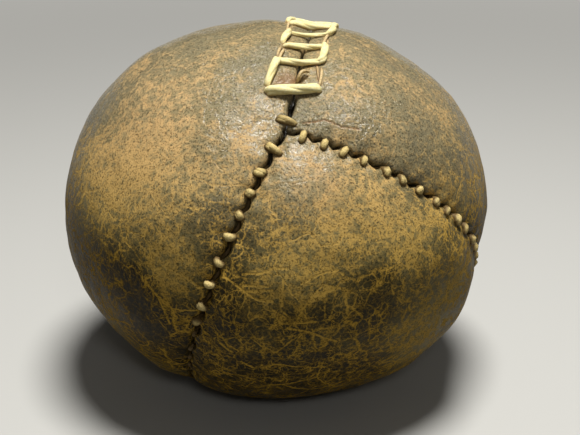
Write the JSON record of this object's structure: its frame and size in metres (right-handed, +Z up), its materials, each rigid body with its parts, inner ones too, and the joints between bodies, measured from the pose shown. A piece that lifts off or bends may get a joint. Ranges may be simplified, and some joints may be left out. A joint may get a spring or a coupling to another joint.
{
  "type": "hand-sewn leather baseball",
  "caption": "Early hand-sewn leather ball: crackled one-piece cover with whip-stitched seams and a ladder-laced closing seam over a yarn winding and rubber core.",
  "frame": {"origin": "centre of the flat that the ball rests on", "axes": "+Z up through the ball, -Y towards the front junction of the seams, +X to the right seen from the front"},
  "size_m": [0.073, 0.0733, 0.0645],
  "materials": {
    "worn_leather": "dark brown finish, crackled and worn through to tan, half gloss",
    "seam_thread": "waxed cream thread, dull",
    "lace_cord": "cream twisted cord, dull",
    "wool_yarn": "undyed wool yarn",
    "core_rubber": "solid rubber, dull"
  },
  "bodies": {
    "root": {"leather_cover": "worn_leather", "yarn_winding": "wool_yarn", "rubber_core": "core_rubber", "closing_lace": "lace_cord", "closing_return_thread": "lace_cord", "front_left_seam_thread": "seam_thread", "front_right_seam_thread": "seam_thread", "back_left_seam_thread": "seam_thread", "back_right_seam_thread": "seam_thread"}
  },
  "joints": []
}
